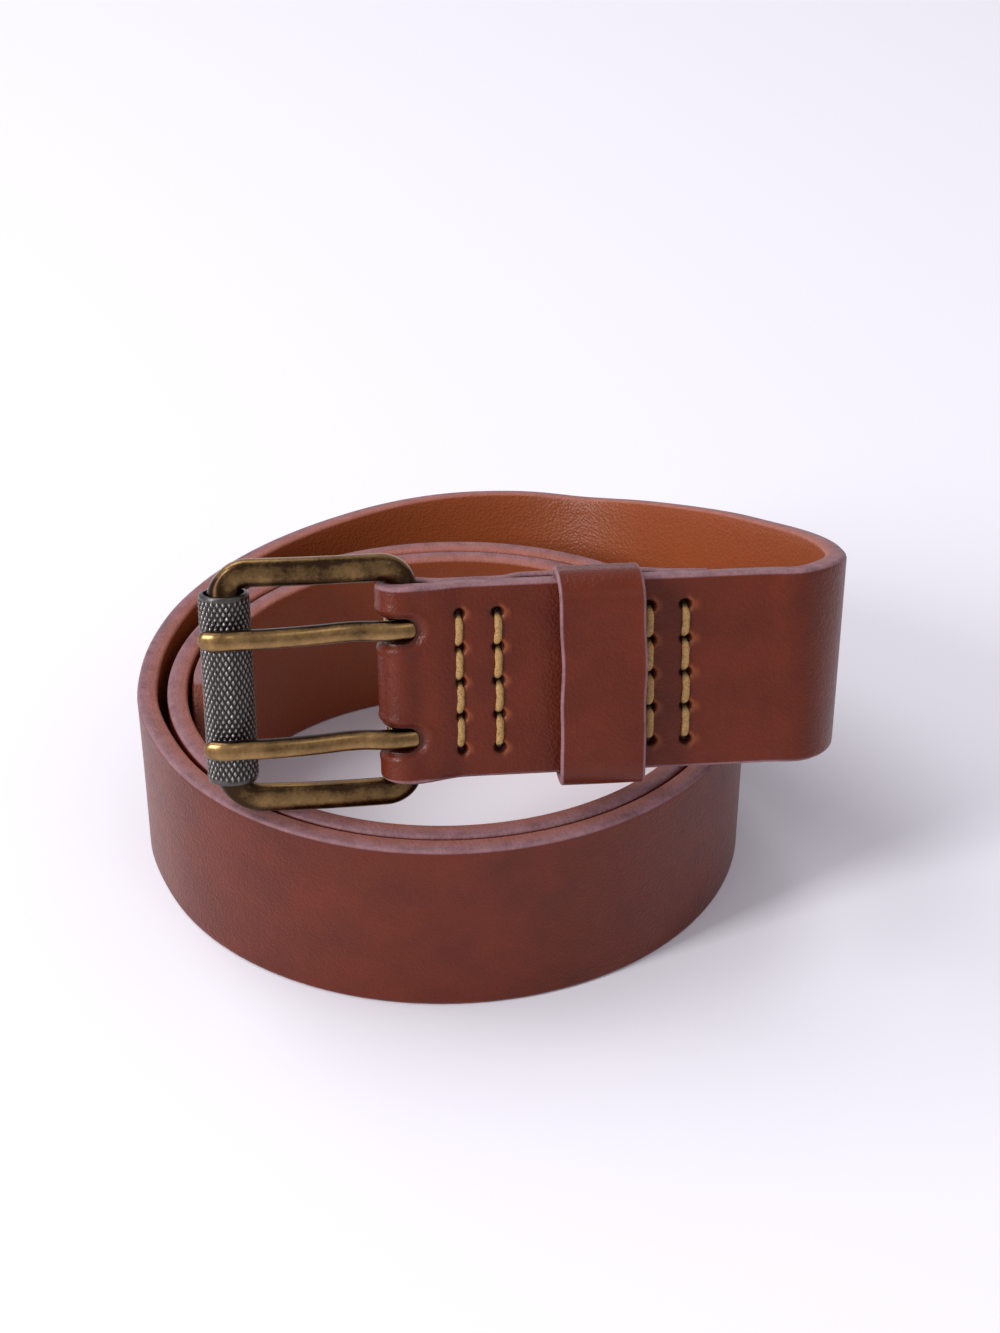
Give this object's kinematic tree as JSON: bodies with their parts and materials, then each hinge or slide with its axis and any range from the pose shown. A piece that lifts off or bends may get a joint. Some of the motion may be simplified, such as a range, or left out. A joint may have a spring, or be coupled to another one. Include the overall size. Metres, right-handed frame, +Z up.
{
  "type": "belt",
  "caption": "Rolled leather belt standing on its edge, with a prong buckle whose outer bar carries a knurled roller, a leather keeper and stitched buckle end.",
  "frame": {"origin": "under the middle of the rolled belt's box, on the surface it stands on", "axes": "+X along the straight buckle end, away from the buckle; +Z up; the buckle end's outer face looks towards -Y"},
  "size_m": [0.1494, 0.1422, 0.0915],
  "materials": {
    "strap_leather": "smooth",
    "keeper_leather": "smooth",
    "antique_brass": "antique",
    "knurled_steel": "knurled",
    "staple_steel": "plain",
    "waxed_thread": "waxed"
  },
  "bodies": {
    "belt": {"strap": "strap_leather", "stitch_row_1": "waxed_thread", "stitch_row_2": "waxed_thread", "stitch_row_3": "waxed_thread", "stitch_row_4": "waxed_thread"},
    "frame": {"buckle_frame": "antique_brass"},
    "roller_tube": {"roller": "knurled_steel"},
    "upper_prong": {"prong_upper": "antique_brass"},
    "lower_prong": {"prong_lower": "antique_brass"},
    "keeper_loop": {"keeper": "keeper_leather", "keeper_staples": "staple_steel"}
  },
  "joints": [
    {"name": "buckle_swing", "type": "hinge", "parent": "belt", "child": "frame", "pos_m": [-0.01753, -0.04723, 0.06576], "axis": [0, 0.2924, 0.9563], "range_deg": [0, 24]},
    {"name": "roller_spin", "type": "hinge", "parent": "frame", "child": "roller_tube", "pos_m": [-0.05303, -0.04723, 0.06576], "axis": [0, 0.2924, 0.9563], "continuous": true},
    {"name": "upper_prong_swing", "type": "hinge", "parent": "frame", "child": "upper_prong", "pos_m": [-0.01753, -0.04395, 0.07648], "axis": [0, 0.2924, 0.9563], "range_deg": [0, 27]},
    {"name": "lower_prong_swing", "type": "hinge", "parent": "frame", "child": "lower_prong", "pos_m": [-0.01753, -0.0505, 0.05505], "axis": [0, 0.2924, 0.9563], "range_deg": [0, 27]},
    {"name": "keeper_slide", "type": "slide", "parent": "belt", "child": "keeper_loop", "axis": [1, 0, 0], "range_m": [-0.006, 0]}
  ]
}
